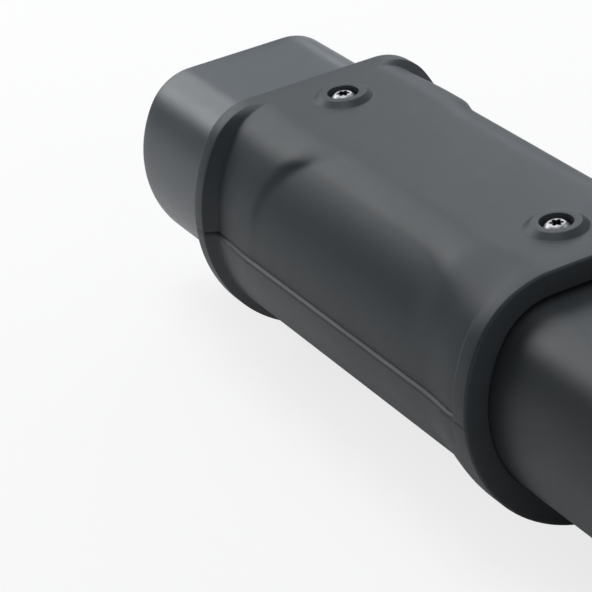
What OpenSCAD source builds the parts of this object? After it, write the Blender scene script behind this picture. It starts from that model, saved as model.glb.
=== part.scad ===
// Adapter that joins a charging cable's connector to a vehicle: pins at one end, sleeves at the other.
// The contact axis runs along X. The pin end is at -X, the sleeve end at +X, and the shells' flats face up.

/* [Coupler shells] */
// Radius of a shell's round outline
shell_r = 28; // [27.5:0.5:29.5]
// Height of a shell's flat above the contact axis
shell_flat = 21.5; // [21:0.5:23]
// Corner radius between a shell's flat and its round
shell_corner = 14; // [12:0.5:15]
// Wall of a shell
shell_wall = 2.5; // [2.2:0.1:2.8]
// Length of a shell outside the housing
nose_len = 38; // [36:1:44]
// Length of a shell inside the housing
collar_len = 22; // [21:1:26]
// Rounding of a shell's front edge
nose_edge = 1; // [0.5:0.1:1.2]
// Width of the key rib under a shell
key_w = 9; // [7:0.5:11]
// Height of the key rib
key_h = 1; // [0.6:0.1:1.4]

/* [Housing] */
// Length of the housing
body_len = 114; // [110:2:130]
// Radius of the lower half, outside
body_r = 31.4; // [31.2:0.1:32.2]
// Height of the housing's flat above the contact axis
body_flat = 26.6; // [26:0.2:27.4]
// Corner radius of the housing's flat
body_corner = 13; // [11:0.5:14]
// How much wider the arcs of the upper half's sides are than the round, which makes its corners squarer
side_flatten = 5; // [3:0.5:6]
// How far the upper half's side lies inside the lower half's
seam_step = 0.7; // [0.4:0.1:0.8]
// Radius of the two end rims
rim_r = 33.5; // [33.2:0.1:34.5]
// How far the rims stand above the housing's flat
rim_lift = 0.4; // [0.2:0.1:0.8]
// Width of the rim round the pin end
front_rim_w = 4; // [3:0.5:5]
// Width of the rim round the sleeve end
rear_rim_w = 5; // [4:0.5:6]
// Length of the flare that leads up to the rear rim
flare_len = 14; // [10:1:18]
// Corner radius of the rear rim's flat
rear_corner = 20; // [18:0.5:21]
// Depth of the grip scoops at the upper corners
scoop_depth = 1.1; // [0.8:0.1:1.3]
// Distance of the grip scoops' lower corners from the housing's ends
scoop_inset = 23; // [22:1:28]
// How far a scoop's ends run inwards for each millimetre towards the middle
scoop_rake = 1; // [0.6:0.1:1.2]
// Width of the chamfer along the lower half's seam edge
seam_chamfer = 0.8; // [0.5:0.1:1]
// Side of the lap joint between the halves
lap = 1.1; // [0.9:0.1:1.3]

/* [Screws] */
// Distance of the housing screws from the housing's ends
screw_inset = 15; // [13:0.5:17]
// Thread diameter of the housing screws
screw_d = 3; // [2.5:0.5:3]
// Head diameter of the housing screws
head_d = 5.6; // [5:0.1:6]
// Head height of the housing screws
head_h = 2.4; // [2:0.1:2.6]
// Diameter of the counterbore round a head
counterbore_d = 7; // [6.4:0.1:7.6]
// Diameter of a screw boss at its top
boss_top_d = 10.2; // [9.5:0.1:11]
// Diameter of a screw boss at its foot
boss_foot_d = 13.4; // [12.5:0.1:14.5]
// Height of a screw boss above the housing
boss_h = 1.2; // [1:0.1:1.6]
// Depth that a housing screw's thread reaches into the shell's boss
thread_grip = 5.5; // [4.5:0.5:6]

/* [Contacts] */
// Distance between neighbouring power contacts
pitch = 16; // [15.6:0.1:16]
// Side offset of the two signal contacts
signal_y = 8; // [7.6:0.1:8.2]
// Height of the two signal contacts above the axis
signal_z = 11.1; // [10.8:0.1:11.4]
// Diameter of a power pin
power_d = 6; // [5.6:0.1:6.2]
// Diameter of a signal pin
signal_d = 3; // [2.6:0.1:3.2]
// Diameter of a power well
power_well_d = 14.9; // [14.6:0.1:15.2]
// Diameter of a signal well
signal_well_d = 10.5; // [10.2:0.1:10.7]
// Depth of the wells
well_depth = 30; // [28:0.5:31]
// Depth of the inlet insert's face behind the shell's rim
face_recess = 1; // [0.6:0.1:1.4]
// Depth of the earth pin's tip behind the insert's face
earth_depth = 4; // [3:0.5:6]
// Depth of the power pins' touch tips behind the insert's face
power_depth = 6; // [5:0.5:8]
// Depth of the signal pins' tips behind the insert's face
signal_depth = 12; // [10:0.5:14]
// Length of the part of a touch tip that stands on its pin
tip_len = 3; // [2.5:0.1:3.5]

/* [Wires] */
// Diameter of a power wire over its insulation
power_wire_d = 5.2; // [4.6:0.1:5.4]
// Diameter of a signal wire over its insulation
signal_wire_d = 2.4; // [2:0.1:2.6]
// Sag of the wires between their joints
wire_sag = 5; // [3:0.5:7]

/* [Hidden] */
$fn = 96;

fit = 0.15;                             // clearance round pieces that slide together
skin = 2.5;                             // wall of the housing at its flat
total_len = body_len + 2 * nose_len;
body_x0 = nose_len;
body_x1 = nose_len + body_len;
axis_h = rim_r;                         // the rims are what the adapter stands on
upper_r = body_r - seam_step;
cavity_r = shell_r + fit;
cavity_corner = shell_corner + fit;
cavity_flat = body_flat - skin;
boss_z = body_flat + boss_h;
head_sink = 0.2;                        // a head's top below the boss's top
screw_xs = [body_x0 + screw_inset, body_x1 - screw_inset];

// Stations along a coupler, from its rim inwards; the same at both ends
floor_x = face_recess + well_depth;     // the wells' floor, and the foot of the towers
ledge_t = 3;                            // ledge inside a shell that carries the insert
ledge_x0 = nose_len;
ledge_x1 = ledge_x0 + ledge_t;
insert_end = ledge_x1 + 0.2;            // an insert's rear face stands just past the ledge
retainer_t = 3;
retainer_end = insert_end + retainer_t;
collar_t = 5;                           // thickness of a contact's collar, sunk into the insert's rear
cup_end = nose_len + 16;                // rear end of the contacts' cups
cup_depth = 8;
flange_t = 2;                           // ring on a shell that the housing traps
gasket_t = 0.8;
flange_h = 1.4;
flange_x0 = front_rim_w + gasket_t;     // measured from the housing's end
flange_x1 = flange_x0 + flange_t;

in_r = shell_r - shell_wall;            // inside of a shell
in_flat = shell_flat - shell_wall;
in_corner = shell_corner - shell_wall;
ledge_w = 2;                            // width of the ledge
shell_boss_d = 7.5;                     // a shell's boss for a housing screw
lock_d = 2;                             // screws that hold a retainer plate
lock_head_d = 4.2;
lock_len = 7;
lock_head_h = 1.6;
power_r = power_d / 2;
signal_r = signal_d / 2;
bore_fit = 0.05;                        // clearance of a pin in its bore

// Contact places as [y, z]; line and neutral sit beside the earth contact
earth_at = [0, 0];
line_at = [pitch, 0];
neutral_at = [-pitch, 0];
pilot_at = [-signal_y, signal_z];
sense_at = [signal_y, signal_z];
spare_at = [for (s = [-1, 1]) [s * pitch / 2, -pitch * sin(60)]];
power_at = [earth_at, line_at, neutral_at];
signal_at = [pilot_at, sense_at];
lock_at = [for (s = [-1, 1]) [s * 1.19 * pitch, -0.6 * pitch]];

// Centre of the D outline's right corner. The sides' arcs are wider than r by flatten, and are upright
// at the axis.
function corner_at(r, flat, corner, flatten) =
    [sqrt(pow(r + flatten - corner, 2) - pow(flat - corner, 2)) - flatten, flat - corner];

// D outline: a circle cut by a flat, with rounded corners. The round stops just under the point where the
// corner's arc touches it, so that the two arcs cross a straight line some microns apart and never graze.
// With flatten it serves only above the axis.
module d_face(r, flat, corner, flatten = 0) {
    under = 0.5;
    side = r + flatten;
    at = corner_at(r, flat, corner, flatten);
    tangent_z = at[1] * side / (side - corner);
    intersection() {
        if (flatten == 0) circle(r);
        else intersection_for (s = [-1, 1]) translate([s * flatten, 0]) circle(side);
        translate([-r, -r]) square([2 * r, r + tangent_z - under]);
    }
    translate([-at[0], 0]) square([2 * at[0], flat]);
    for (s = [-1, 1]) translate([s * at[0], at[1]]) circle(corner);
}

// The D outline extruded along X from x0 to x1
module d_bar(x0, x1, r, flat, corner, flatten = 0) {
    translate([x0, 0, 0]) rotate([90, 0, 90]) linear_extrude(x1 - x0) d_face(r, flat, corner, flatten);
}

// Round bar along X from x0 to x1, at the place [y, z]
module rod(x0, x1, d, at = [0, 0], fn = 64) {
    translate([x0, at[0], at[1]]) rotate([0, 90, 0]) cylinder(d = d, h = x1 - x0, $fn = fn);
}

// Profile of [x, radius] points turned round the contact axis
module turned(points, at = [0, 0], fn = 96) {
    translate([0, at[0], at[1]]) rotate([0, 90, 0]) rotate_extrude($fn = fn)
        polygon([for (p = points) [p[1], p[0]]]);
}

// Sets the model on its rims, with the origin under its middle
module placed() translate([-total_len / 2, 0, axis_h]) children();

// The sleeve end is the pin end's stations, seen from the other side
module at_plug() translate([total_len, 0, 0]) mirror([1, 0, 0]) children();

// Housing
function flare(t) = (1 - cos(180 * t)) / 2;

// Round that the barrel swells out of towards the rear rim
module flare_round(r) {
    steps = 8;
    x_flare = body_x1 - rear_rim_w - flare_len;
    rim_inner = rim_r - rim_lift;
    start = r - rim_lift;
    turned(concat(
        [[x_flare, 0], [x_flare, start]],
        [for (i = [1:steps]) let (t = i / steps)
            [x_flare + flare_len * t, start + (rim_inner - start) * flare(t)]],
        [[body_x1, rim_inner], [body_x1, 0]]), fn = 180);
}

module rims(flatten) {
    rim_flat = body_flat + rim_lift;
    ramp = rim_r - body_r;
    intersection() {
        d_bar(body_x0, body_x0 + front_rim_w + ramp, rim_r, rim_flat, body_corner, flatten);
        turned([[body_x0, 0], [body_x0, rim_r + 2], [body_x0 + front_rim_w, rim_r + 2],
            [body_x0 + front_rim_w, rim_r], [body_x0 + front_rim_w + ramp, body_r - 1],
            [body_x0 + front_rim_w + ramp, 0]], fn = 180);
    }
    d_bar(body_x1 - rear_rim_w, body_x1, rim_r, rim_flat, rear_corner);
}

module body_outer(r, flatten = 0) {
    d_bar(body_x0, body_x1 - rear_rim_w / 2, r, body_flat, body_corner, flatten);
    intersection() {
        flare_round(r);
        d_bar(body_x0, body_x1, rim_r, body_flat, rear_corner);
    }
    rims(flatten);
}

// Grip scoop in each upper corner, with raked ends. Its floor is a round about the contact axis, so that it
// runs out above the seam and at the flat, and is deepest in the corner.
module scoops() {
    floor_r = norm(corner_at(upper_r, body_flat, body_corner, side_flatten)) + body_corner - scoop_depth;
    inner_y = 10;
    outer_y = rim_r + 1;
    run = scoop_rake * (outer_y - inner_y);
    x0 = body_x0 + scoop_inset - scoop_rake * (outer_y - 0.93 * upper_r);
    x1 = body_x1 - scoop_inset + scoop_rake * (outer_y - 0.93 * upper_r);
    for (s = [-1, 1]) difference() {
        translate([0, 0, 4]) linear_extrude(body_flat)
            polygon([[x0, s * outer_y], [x0 + run, s * inner_y], [x1 - run, s * inner_y], [x1, s * outer_y]]);
        rod(body_x0, body_x1, 2 * floor_r, fn = 180);
    }
}

module cavity() {
    d_bar(body_x0 - 1, body_x1 + 1, cavity_r, shell_flat + fit, cavity_corner);
    d_bar(body_x0 + flange_x0 - gasket_t, body_x1 - flange_x0 + gasket_t, cavity_r, cavity_flat,
        cavity_corner);
    for (x = [body_x0 + front_rim_w, body_x1 - flange_x1 - fit])
        d_bar(x, x + flange_t + gasket_t + fit, shell_r + flange_h + fit, shell_flat + flange_h + fit,
            shell_corner + flange_h + fit);
}

// Ribs under the housing's flat that seat on the shells' flats
module cradles() {
    rib_t = 1.8;
    w = 2 * (shell_r - shell_corner);
    for (x = [body_x0 + flange_x1 + 1.5, body_x0 + collar_len - 1 - rib_t,
            body_x1 - flange_x1 - 1.5 - rib_t, body_x1 - collar_len + 1])
        translate([x, -w / 2, shell_flat + fit]) cube([rib_t, w, cavity_flat - shell_flat]);
}

// Stiffening ribs across the middle of a half
module stiffeners() {
    rib_t = 2;
    for (k = [1, 2]) translate([body_x0 + collar_len + k * (body_len - 2 * collar_len) / 3, 0, 0])
        difference() {
            d_bar(0, rib_t, cavity_r + 0.5, cavity_flat + 0.5, cavity_corner);
            d_bar(-1, rib_t + 1, cavity_r - 5, cavity_flat - 5, cavity_corner - 5);
        }
}

module screw_boss(x, seat) {
    translate([x, 0, seat]) cylinder(d = boss_top_d - 1, h = boss_z - seat - 1);
    translate([x, 0, boss_z - boss_h - 1])
        cylinder(d1 = boss_foot_d + (boss_foot_d - boss_top_d) / boss_h, d2 = boss_top_d, h = boss_h + 1);
}

module screw_hole(x, seat) {
    translate([x, 0, boss_z - head_sink - head_h]) cylinder(d = counterbore_d, h = head_h + head_sink + 1);
    translate([x, 0, seat - 1]) cylinder(d = screw_d + 0.4, h = boss_z - seat + 2, $fn = 48);
}

module half_space(up) translate([-1, -50, up ? 0 : -100]) cube([total_len + 2, 100, 100]);

module upper_housing() color([0.2, 0.21, 0.22]) placed() difference() {
    union() {
        difference() {
            intersection() {
                body_outer(upper_r, side_flatten);
                half_space(true);
            }
            scoops();
            cavity();
        }
        intersection() {
            stiffeners();
            half_space(true);
            body_outer(upper_r, side_flatten);
        }
        cradles();
        for (x = screw_xs) screw_boss(x, shell_flat + fit);
    }
    for (x = screw_xs) screw_hole(x, shell_flat);
    // Rebate on the inner side of the seam, over the lower half's lip
    for (s = [-1, 1]) translate([body_x0 + flange_x1 + 1, s > 0 ? cavity_r - 2 : -cavity_r - lap - fit, -1])
        cube([body_len - 2 * flange_x1 - 2, lap + fit + 2, 1 + lap + fit]);
}

// Screw places under the lower half, where the round needs a taller boss
low_boss_z = body_r + boss_h;
low_seat = cavity_r;

module lower_housing() color([0.24, 0.25, 0.26]) placed() difference() {
    union() {
        difference() {
            intersection() {
                body_outer(body_r);
                half_space(false);
            }
            cavity();
        }
        intersection() {
            stiffeners();
            half_space(false);
            body_outer(body_r);
        }
        // Lip inside the seam that the upper half laps over
        for (s = [-1, 1]) translate([body_x0 + flange_x1 + 1 + fit, s > 0 ? cavity_r : -cavity_r - lap, -2])
            cube([body_len - 2 * flange_x1 - 2 - 2 * fit, lap, 2 + lap]);
        for (x = screw_xs) translate([x, 0, -low_boss_z])
            cylinder(d1 = boss_top_d, d2 = boss_foot_d, h = low_boss_z - cavity_r - 1.2);
    }
    for (x = screw_xs) {
        translate([x, 0, -low_boss_z - 1]) cylinder(d = counterbore_d, h = 1 + head_sink + head_h);
        translate([x, 0, -low_boss_z]) cylinder(d = screw_d + 0.4, h = low_boss_z - in_r, $fn = 48);
    }
    // Chamfer along the seam
    for (s = [-1, 1]) translate([body_x0 + front_rim_w + 2, s * body_r, 0]) rotate([45, 0, 0])
        translate([0, -seam_chamfer / sqrt(2), -seam_chamfer / sqrt(2)])
            cube([body_len - front_rim_w - 2 - rear_rim_w, seam_chamfer * sqrt(2), seam_chamfer * sqrt(2)]);
}

// Coupler shell: D tube with a trapped ring, a ledge for the insert and two screw bosses
module shell() {
    end_x = nose_len + collar_len;
    screw_x = nose_len + screw_inset;
    difference() {
        union() {
            difference() {
                union() {
                    hull() {
                        for (k = [[0, 1], [0.3, 0.3], [1, 0]])
                            d_bar(k[0] * nose_edge, k[0] * nose_edge + 0.01, shell_r - k[1] * nose_edge,
                                shell_flat - k[1] * nose_edge, shell_corner - k[1] * nose_edge);
                    }
                    d_bar(nose_edge, end_x, shell_r, shell_flat, shell_corner);
                    d_bar(nose_len + flange_x0, nose_len + flange_x1, shell_r + flange_h, shell_flat + flange_h,
                        shell_corner + flange_h);
                    // Key rib
                    translate([nose_edge, 0, -shell_r - key_h]) rotate([90, 0, 90])
                        linear_extrude(nose_len - 2 * nose_edge)
                            polygon([[-0.42 * key_w, 0], [0.42 * key_w, 0],
                                [key_w / 2, key_h + 1], [-key_w / 2, key_h + 1]]);
                }
                d_bar(-1, ledge_x0, in_r, in_flat, in_corner);
                d_bar(ledge_x0 - 1, ledge_x1 + 1, in_r - ledge_w, in_flat - ledge_w, in_corner - ledge_w);
                d_bar(ledge_x1, end_x + 1, in_r, in_flat, in_corner);
            }
            for (s = [-1, 1]) intersection() {
                translate([screw_x, 0, s > 0 ? in_flat - thread_grip : -in_r - 1])
                    cylinder(d = shell_boss_d, h = thread_grip + 1);
                d_bar(ledge_x1, end_x, shell_r - 1, shell_flat - 1, shell_corner - 1);
            }
        }
        translate([screw_x, 0, in_flat - thread_grip + 1])
            cylinder(d = screw_d - 0.5, h = thread_grip + shell_wall, $fn = 48);
        translate([screw_x, 0, -shell_r - 1])
            cylinder(d = screw_d - 0.5, h = 1 + shell_wall + thread_grip - 1.5, $fn = 48);
    }
}

module inlet_shell() color([0.22, 0.23, 0.25]) placed() shell();
module plug_shell() color([0.22, 0.23, 0.25]) placed() at_plug() shell();

// Body of an insert: from its front station to the ledge, and its narrower rear through the ledge
module insert_body(x0) {
    d_bar(x0, ledge_x0, in_r - fit, in_flat - fit, in_corner - fit);
    d_bar(ledge_x0 - 1, insert_end, in_r - ledge_w - fit, in_flat - ledge_w - fit, in_corner - ledge_w - fit);
}

// Stepped bores behind the wells: the shank's bore, then the collar's counterbore
module contact_bores(x0, power_bore, power_collar, signal_bore, signal_collar) {
    for (at = power_at) {
        rod(x0, insert_end + 1, power_bore, at);
        rod(insert_end - collar_t - 0.1, insert_end + 1, power_collar, at);
    }
    for (at = signal_at) {
        rod(x0, insert_end + 1, signal_bore, at, 48);
        rod(insert_end - collar_t - 0.1, insert_end + 1, signal_collar, at, 48);
    }
    for (at = lock_at) rod(insert_end - lock_len - 1, insert_end + 1, lock_d, at, 32);
}

power_collar_d = power_d + 2.4;
signal_collar_d = signal_d + 2.4;
sleeve_d = power_d + 2.8;               // outside of a power sleeve
small_sleeve_d = signal_d + 2.2;
sleeve_collar_d = sleeve_d + 1.6;
small_sleeve_collar_d = small_sleeve_d + 1.6;
rear_d = power_d + 0.5;                 // rear part of a power contact, with its cup
small_rear_d = signal_d + 1;
cup_d = 3.6;
small_cup_d = 1.8;
tip_stem_d = 2.3;                       // peg of a touch tip, and the hole for it in its pin
tip_stem = 3.5;
tip_hole_d = tip_stem_d + 2 * bore_fit;
slit_len = well_depth / 2;              // slits that let a sleeve's fingers spring
slit_w = 0.7;
small_slit_w = 0.5;

module inlet_insert() color([0.36, 0.37, 0.39]) placed() difference() {
    insert_body(face_recess);
    for (at = concat(power_at, spare_at)) rod(0, floor_x, power_well_d, at, 96);
    for (at = signal_at) rod(0, floor_x, signal_well_d, at, 72);
    contact_bores(floor_x - 1, power_d + 2 * bore_fit, power_collar_d + 2 * bore_fit,
        signal_d + 2 * bore_fit, signal_collar_d + 2 * bore_fit);
    // Drain hole, apex up
    translate([0, 0, -in_r + 2.5]) rotate([90, 0, 90]) linear_extrude(floor_x + 20)
        polygon([[-3, 0], [3, 0], [0.5, 3.9], [-0.5, 3.9]]);
}

tower_d = power_well_d - 0.7;
small_tower_d = signal_well_d - 0.6;
tower_x0 = 2;                           // towers' faces behind the shell's rim
mouth_t = 1.2;                          // lip in front of a sleeve

module plug_insert() color([0.36, 0.37, 0.39]) placed() at_plug() difference() {
    union() {
        insert_body(floor_x);
        for (at = concat(power_at, spare_at)) rod(tower_x0, floor_x + 1, tower_d, at, 96);
        for (at = signal_at) rod(tower_x0, floor_x + 1, small_tower_d, at, 72);
    }
    for (at = concat(power_at, spare_at)) rod(0, floor_x - 3, power_d + 0.6, at);
    for (at = signal_at) rod(0, floor_x, signal_d + 0.5, at, 48);
    contact_bores(tower_x0 + mouth_t, sleeve_d + 2 * bore_fit, sleeve_collar_d + 2 * bore_fit,
        small_sleeve_d + 2 * bore_fit, small_sleeve_collar_d + 2 * bore_fit);
}

// Male contact: tip, shank, collar and a rear cup for the wire
module pin(at, d, tip_x, tip_d, collar_d, back_d, cup) {
    chamfer = (d - tip_d) / 2;
    difference() {
        turned([[tip_x, 0], [tip_x, tip_d / 2], [tip_x + chamfer, d / 2],
            [insert_end - collar_t, d / 2], [insert_end - collar_t, collar_d / 2], [insert_end, collar_d / 2],
            [insert_end, back_d / 2], [cup_end, back_d / 2], [cup_end, 0]], at, 64);
        rod(cup_end - cup_depth, cup_end + 1, cup, at, 48);
    }
}

module power_pin(at) difference() {
    pin(at, power_d, face_recess + power_depth + tip_len, power_d - 0.6, power_collar_d, rear_d, cup_d);
    rod(0, face_recess + power_depth + tip_len + tip_stem + 0.5, tip_hole_d, at, 48);
}

module earth_pin() color([0.8, 0.8, 0.78]) placed()
    pin(earth_at, power_d, face_recess + earth_depth, power_d - 1.9, power_collar_d, rear_d, cup_d);
module line_pin() color([0.8, 0.8, 0.78]) placed() power_pin(line_at);
module neutral_pin() color([0.8, 0.8, 0.78]) placed() power_pin(neutral_at);
module signal_pin(at)
    pin(at, signal_d, face_recess + signal_depth, signal_d - 1, signal_collar_d, small_rear_d, small_cup_d);
module pilot_pin() color([0.8, 0.8, 0.78]) placed() signal_pin(pilot_at);
module sense_pin() color([0.8, 0.8, 0.78]) placed() signal_pin(sense_at);

// Plastic tips that keep a finger off the two power pins
module touch_tips() color([0.45, 0.45, 0.46]) placed() for (at = [line_at, neutral_at]) {
    x = face_recess + power_depth;
    difference() {
        turned([[x, 0], [x, 0.57 * power_r], [x + 0.27 * tip_len, power_r - 0.25],
            [x + tip_len, power_r - 0.25], [x + tip_len, tip_stem_d / 2],
            [x + tip_len + tip_stem, tip_stem_d / 2], [x + tip_len + tip_stem, 0]], at, 48);
        rod(x - 1, x + 0.2 * tip_len, 0.22 * power_d, at, 24);
    }
}

// Female contact: slit sleeve, collar and a rear cup for the wire
module sleeve(at, d, outer, collar_d, back_d, cup, slit) {
    x0 = tower_x0 + mouth_t;
    difference() {
        turned([[x0, 0], [x0, outer / 2], [insert_end - collar_t, outer / 2],
            [insert_end - collar_t, collar_d / 2], [insert_end, collar_d / 2], [insert_end, back_d / 2],
            [cup_end, back_d / 2], [cup_end, 0]], at, 64);
        rod(x0 - 1, floor_x - 1, d + 2 * bore_fit, at, 64);
        rod(cup_end - cup_depth, cup_end + 1, cup, at, 48);
        for (a = [0, 90]) translate([x0 - 1, at[0], at[1]]) rotate([a, 0, 0])
            translate([0, -slit / 2, -outer]) cube([slit_len, slit, 2 * outer]);
    }
}

module power_sleeve(at) placed() at_plug()
    sleeve(at, power_d, sleeve_d, sleeve_collar_d, rear_d, cup_d, slit_w);
module signal_sleeve(at) placed() at_plug()
    sleeve(at, signal_d, small_sleeve_d, small_sleeve_collar_d, small_rear_d, small_cup_d, small_slit_w);
module earth_sleeve() color([0.8, 0.8, 0.78]) power_sleeve(earth_at);
module line_sleeve() color([0.8, 0.8, 0.78]) power_sleeve(line_at);
module neutral_sleeve() color([0.8, 0.8, 0.78]) power_sleeve(neutral_at);
module pilot_sleeve() color([0.8, 0.8, 0.78]) signal_sleeve(pilot_at);
module sense_sleeve() color([0.8, 0.8, 0.78]) signal_sleeve(sense_at);

// Plate behind an insert that locks the contacts' collars, notched to pass the shell's screw bosses
module retainer() difference() {
    d_bar(insert_end, retainer_end, in_r - fit, in_flat - fit, in_corner - fit);
    for (at = power_at) rod(0, retainer_end + 1, rear_d + 0.3, at);
    for (at = signal_at) rod(0, retainer_end + 1, small_rear_d + 0.3, at, 48);
    for (at = lock_at) rod(0, retainer_end + 1, lock_d + 0.7, at, 32);
    notch = shell_boss_d + 0.9;
    for (z = [in_flat - thread_grip - 0.4, -in_r - 1])
        translate([insert_end - 1, -notch / 2, z]) cube([retainer_t + 2, notch, thread_grip + 2]);
}

module inlet_retainer() color([0.85, 0.84, 0.8]) placed() retainer();
module plug_retainer() color([0.85, 0.84, 0.8]) placed() at_plug() retainer();

module lock_screws() for (at = lock_at) {
    rod(insert_end - lock_len, retainer_end, lock_d, at, 32);
    rod(retainer_end, retainer_end + lock_head_h, lock_head_d, at, 32);
}

module retainer_screws() color([0.7, 0.7, 0.7]) placed() {
    lock_screws();
    at_plug() lock_screws();
}

// Gasket between the housing's end wall and the shell's trapped ring
module gasket() difference() {
    d_bar(nose_len + front_rim_w, nose_len + flange_x0, shell_r + flange_h - 0.2, shell_flat + flange_h - 0.2,
        shell_corner + flange_h - 0.2);
    d_bar(0, nose_len + body_len, shell_r + 0.05, shell_flat + 0.05, shell_corner + 0.05);
}

module inlet_gasket() color([0.1, 0.1, 0.1]) placed() gasket();
module plug_gasket() color([0.1, 0.1, 0.1]) placed() at_plug() gasket();

// Tube swept along a list of points, with its rings square to X
module swept(path, r, sides) {
    n = len(path);
    polyhedron(
        points = [for (p = path) for (i = [0:sides - 1])
            [p[0], p[1] + r * cos(360 * i / sides), p[2] + r * sin(360 * i / sides)]],
        faces = concat(
            [[for (i = [0:sides - 1]) i]],
            [[for (i = [sides - 1:-1:0]) (n - 1) * sides + i]],
            [for (k = [0:n - 2]) for (i = [0:sides - 1])
                let (j = (i + 1) % sides)
                    [k * sides + i, (k + 1) * sides + i, (k + 1) * sides + j, k * sides + j]]));
}

// Wire from a pin's cup to the sleeve's cup: a straight lead, then a sag along a cosine
module wire(at, d, core_d, bow) {
    lead = 6;
    x0 = cup_end + 0.3;
    x1 = total_len - x0;
    steps = 20;
    path = concat([[x0, at[0], at[1]]],
        [for (i = [0:steps]) let (t = i / steps, s = (1 - cos(360 * t)) / 2)
            [x0 + lead + (x1 - x0 - 2 * lead) * t, at[0] + bow * s, at[1] - wire_sag * s]],
        [[x1, at[0], at[1]]]);
    swept(path, d / 2, 12);
    rod(x0 - cup_depth + 0.8, x0 + 0.5, core_d, at, 24);
    rod(x1 - 0.5, x1 + cup_depth - 0.8, core_d, at, 24);
}

module power_wire(at, bow) placed() wire(at, power_wire_d, cup_d - 0.2, bow);
module signal_wire(at, bow) placed() wire(at, signal_wire_d, small_cup_d - 0.2, bow);
module earth_wire() color([0.3, 0.6, 0.2]) power_wire(earth_at, 0);
module line_wire() color([0.35, 0.2, 0.1]) power_wire(line_at, -1.5);
module neutral_wire() color([0.15, 0.3, 0.7]) power_wire(neutral_at, 1.5);
module pilot_wire() color([0.85, 0.85, 0.85]) signal_wire(pilot_at, 1);
module sense_wire() color([0.9, 0.6, 0.1]) signal_wire(sense_at, -1);

// Shrunk sleeves over the joints of contacts and wires: a stepped bore over the cup and over the wire
module joint_sleeve(at, back, lead) difference() {
    rod(cup_end - 5, cup_end + 5, back + 0.8, at, 40);
    rod(cup_end - 6, cup_end + 0.3, back + 0.1, at, 40);
    rod(cup_end - 1, cup_end + 6, lead + 0.1, at, 40);
}

module joint_row() {
    for (at = power_at) joint_sleeve(at, rear_d, power_wire_d);
    for (at = signal_at) joint_sleeve(at, small_rear_d, signal_wire_d);
}

module joint_sleeves() color([0.12, 0.12, 0.12]) placed() {
    joint_row();
    at_plug() joint_row();
}

// Button-head screw with a six-lobe recess, head up, its seat at z = 0
module housing_screw(reach) {
    recess = 1.3;
    lobe_at = 0.17 * head_d;
    head_r = head_d / 2;
    shank_r = screw_d / 2 - 0.25;
    crown = 0.7;                        // fall of the head's dome from its middle to its edge
    difference() {
        rotate_extrude($fn = 72) polygon(concat(
            [[0, -reach], [shank_r - 0.3, -reach], [shank_r, -reach + 0.5], [shank_r, 0], [head_r, 0]],
            [for (k = [0:6]) let (u = 1 - k / 6) [head_r * u, head_h - crown * u * u]]));
        translate([0, 0, head_h - recess]) cylinder(r = lobe_at, h = recess + 1, $fn = 48);
        for (a = [0:60:300]) rotate(a) translate([lobe_at, 0, head_h - recess])
            cylinder(r = 0.4 * lobe_at, h = recess + 1, $fn = 24);
    }
}

top_seat = boss_z - head_sink - head_h;
low_head_seat = low_boss_z - head_sink - head_h;

module top_screws() color([0.75, 0.75, 0.76]) placed()
    for (x = screw_xs) translate([x, 0, top_seat]) housing_screw(top_seat - in_flat + thread_grip - 1.2);

module bottom_screws() color([0.75, 0.75, 0.76]) placed()
    for (x = screw_xs) translate([x, 0, -low_head_seat]) rotate([180, 0, 0])
        housing_screw(low_head_seat - in_r + thread_grip - 1.7);

upper_housing();
lower_housing();
inlet_shell();
plug_shell();
inlet_insert();
plug_insert();
earth_pin();
line_pin();
neutral_pin();
pilot_pin();
sense_pin();
touch_tips();
earth_sleeve();
line_sleeve();
neutral_sleeve();
pilot_sleeve();
sense_sleeve();
inlet_retainer();
plug_retainer();
retainer_screws();
inlet_gasket();
plug_gasket();
earth_wire();
line_wire();
neutral_wire();
pilot_wire();
sense_wire();
joint_sleeves();
top_screws();
bottom_screws();
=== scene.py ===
import bmesh
import bpy
import math
import numpy as np
from mathutils import Matrix, Vector


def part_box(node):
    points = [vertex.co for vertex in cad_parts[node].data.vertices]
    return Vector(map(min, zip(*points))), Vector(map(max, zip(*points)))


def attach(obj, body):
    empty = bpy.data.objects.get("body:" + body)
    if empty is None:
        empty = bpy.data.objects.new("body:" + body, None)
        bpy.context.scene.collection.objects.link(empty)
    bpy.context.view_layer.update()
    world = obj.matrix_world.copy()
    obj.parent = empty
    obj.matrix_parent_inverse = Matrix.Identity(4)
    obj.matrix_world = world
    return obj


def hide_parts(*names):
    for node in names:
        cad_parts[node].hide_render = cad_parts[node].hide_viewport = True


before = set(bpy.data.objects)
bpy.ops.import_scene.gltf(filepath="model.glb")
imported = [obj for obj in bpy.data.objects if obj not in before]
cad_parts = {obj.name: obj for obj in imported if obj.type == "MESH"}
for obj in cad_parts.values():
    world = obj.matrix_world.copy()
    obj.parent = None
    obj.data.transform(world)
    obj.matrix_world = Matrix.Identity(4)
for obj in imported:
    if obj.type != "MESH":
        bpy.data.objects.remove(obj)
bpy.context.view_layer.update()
print("frame loaded:", len(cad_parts), "nodes")

# Shapes are worked out in millimetres on a bench frame: x runs along the contacts from the pin end's rim,
# y to the side and z up from the contact axis. toRow puts them in the frame's own metres.
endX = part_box("inlet_shell")[0].x
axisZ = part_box("upper_housing")[0].z
totalLength = (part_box("plug_shell")[1].x - endX) * 1000


def toRow(points):
    return np.asarray(points, float) / 1000 + np.array([endX, 0, axisZ])


def ease(t):
    t = np.clip(t, 0, 1)
    return t * t * (3 - 2 * t)


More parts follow.
